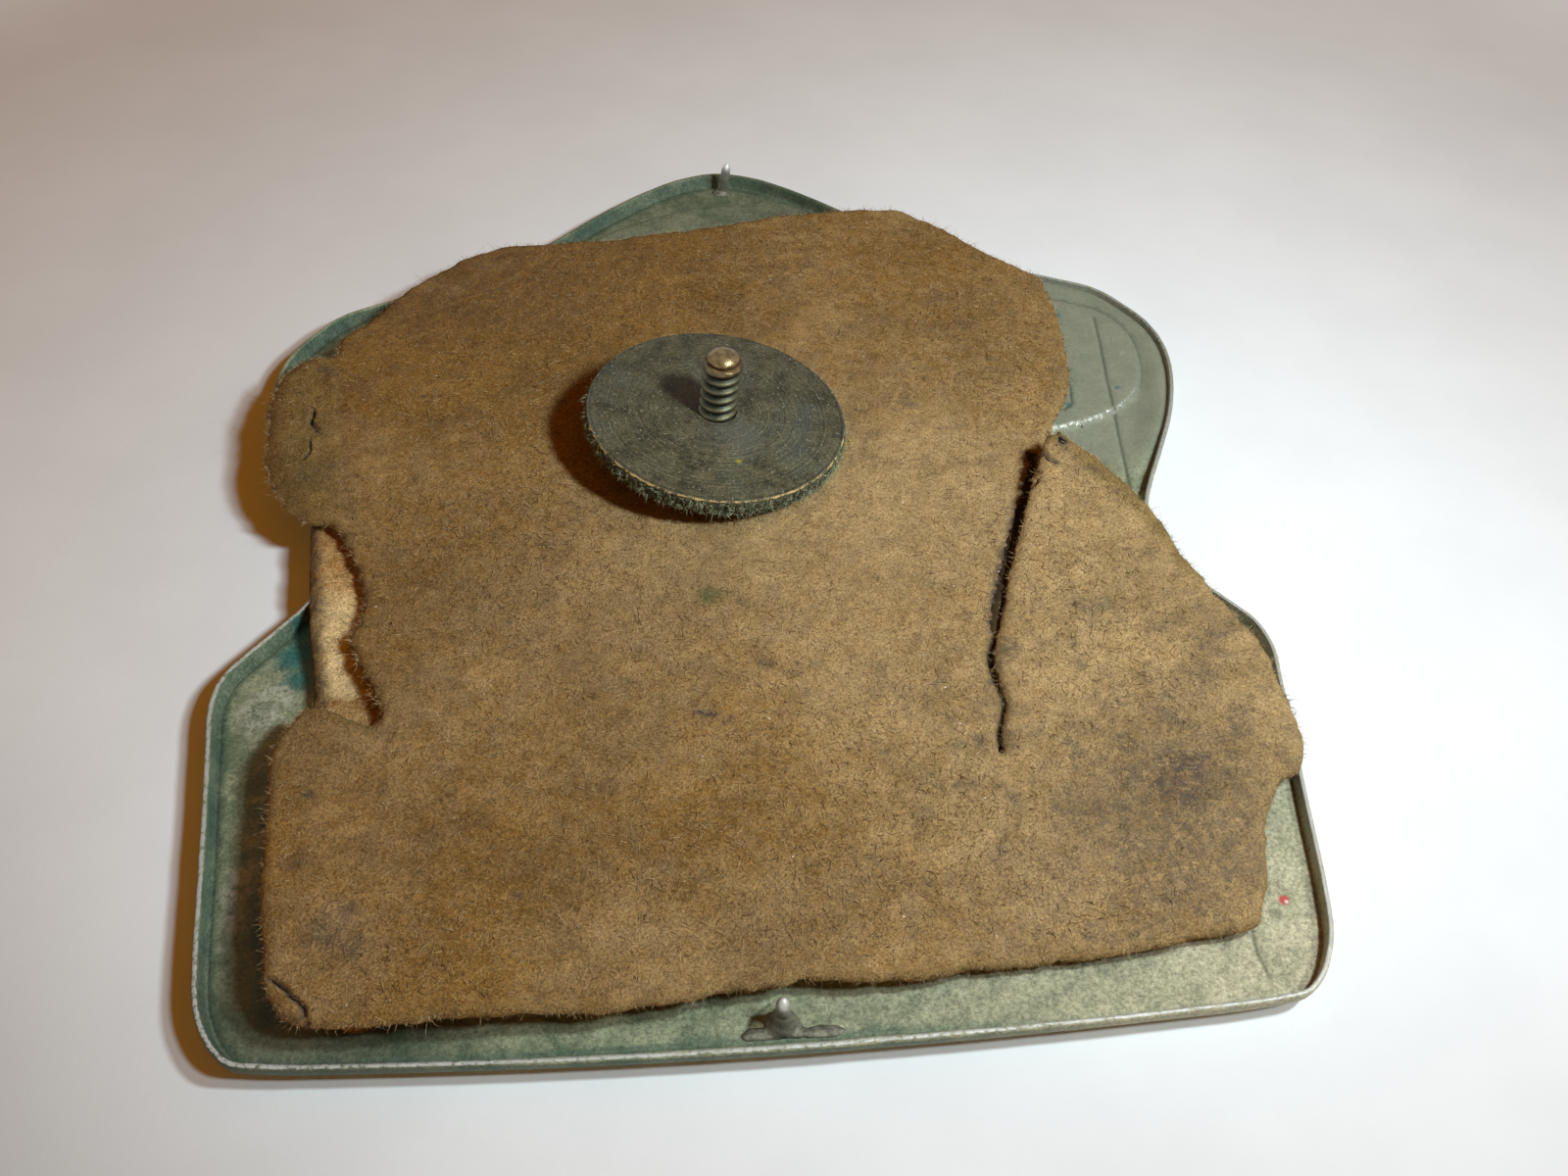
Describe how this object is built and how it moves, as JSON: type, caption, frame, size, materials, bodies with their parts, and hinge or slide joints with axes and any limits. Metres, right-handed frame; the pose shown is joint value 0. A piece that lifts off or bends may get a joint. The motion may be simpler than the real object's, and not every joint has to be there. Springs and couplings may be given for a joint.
{
  "type": "screw-back badge",
  "caption": "Shallow stamped metal badge with enamel fields, held to a cap by a threaded post and a round knurled nut over a torn fibre-board backing pad.",
  "frame": {"origin": "middle of the round boss on the front, in the plane that the front rests on, on the badge's mirror line and just below the screw post", "axes": "+Z out of the badge's back along its thickness, +Y along the mirror line towards the domed top, +X to the right seen from behind"},
  "size_m": [0.0722, 0.0872, 0.0121],
  "materials": {
    "shell_metal": "plated brass sheet, dulled grey-green by age, worn bright along the rim",
    "enamel": "plain dark glossy enamel",
    "post_brass": "worn brass with green corrosion between the threads",
    "prong_metal": "dull wire, bright at the tip",
    "solder": "dark rough solder",
    "pad_board": "brown fibre board, matted and stained",
    "pad_inner_board": "lighter tan fibre board",
    "nut_brass": "turned brass gone dark, knurled edge worn bright"
  },
  "bodies": {
    "badge": {"badge_shell": "shell_metal", "enamel_dome": "enamel", "enamel_base": "enamel", "enamel_lobe_right": "enamel", "enamel_lobe_left": "enamel", "screw_post": "post_brass", "post_solder": "solder", "upper_prong": "prong_metal", "upper_prong_solder": "solder", "lower_prong": "prong_metal", "lower_prong_solder": "solder"},
    "pad": {"pad_upper_ply": "pad_board", "pad_lower_ply": "pad_inner_board"},
    "bush": {"nut_bush": "nut_brass"},
    "nut": {"nut_disc": "nut_brass"}
  },
  "joints": [
    {"name": "pad_turn", "type": "hinge", "parent": "badge", "child": "pad", "pos_m": [-0.00204, 0.00168, 0.003], "axis": [0, 0, 1], "range_deg": [-3, 3]},
    {"name": "nut_travel", "type": "slide", "parent": "badge", "child": "bush", "axis": [0.1288, 0, 0.9917], "range_m": [-0.0001, 0.005]},
    {"name": "nut_turn", "type": "hinge", "parent": "bush", "child": "nut", "pos_m": [-0.00149, 0.00168, 0.00541], "axis": [0.1288, 0, 0.9917], "range_deg": [-45, 2250]}
  ],
  "couplings": [
    {"joint": "nut_travel", "follows": "nut_turn", "m_per_rad": 0.00012637}
  ]
}
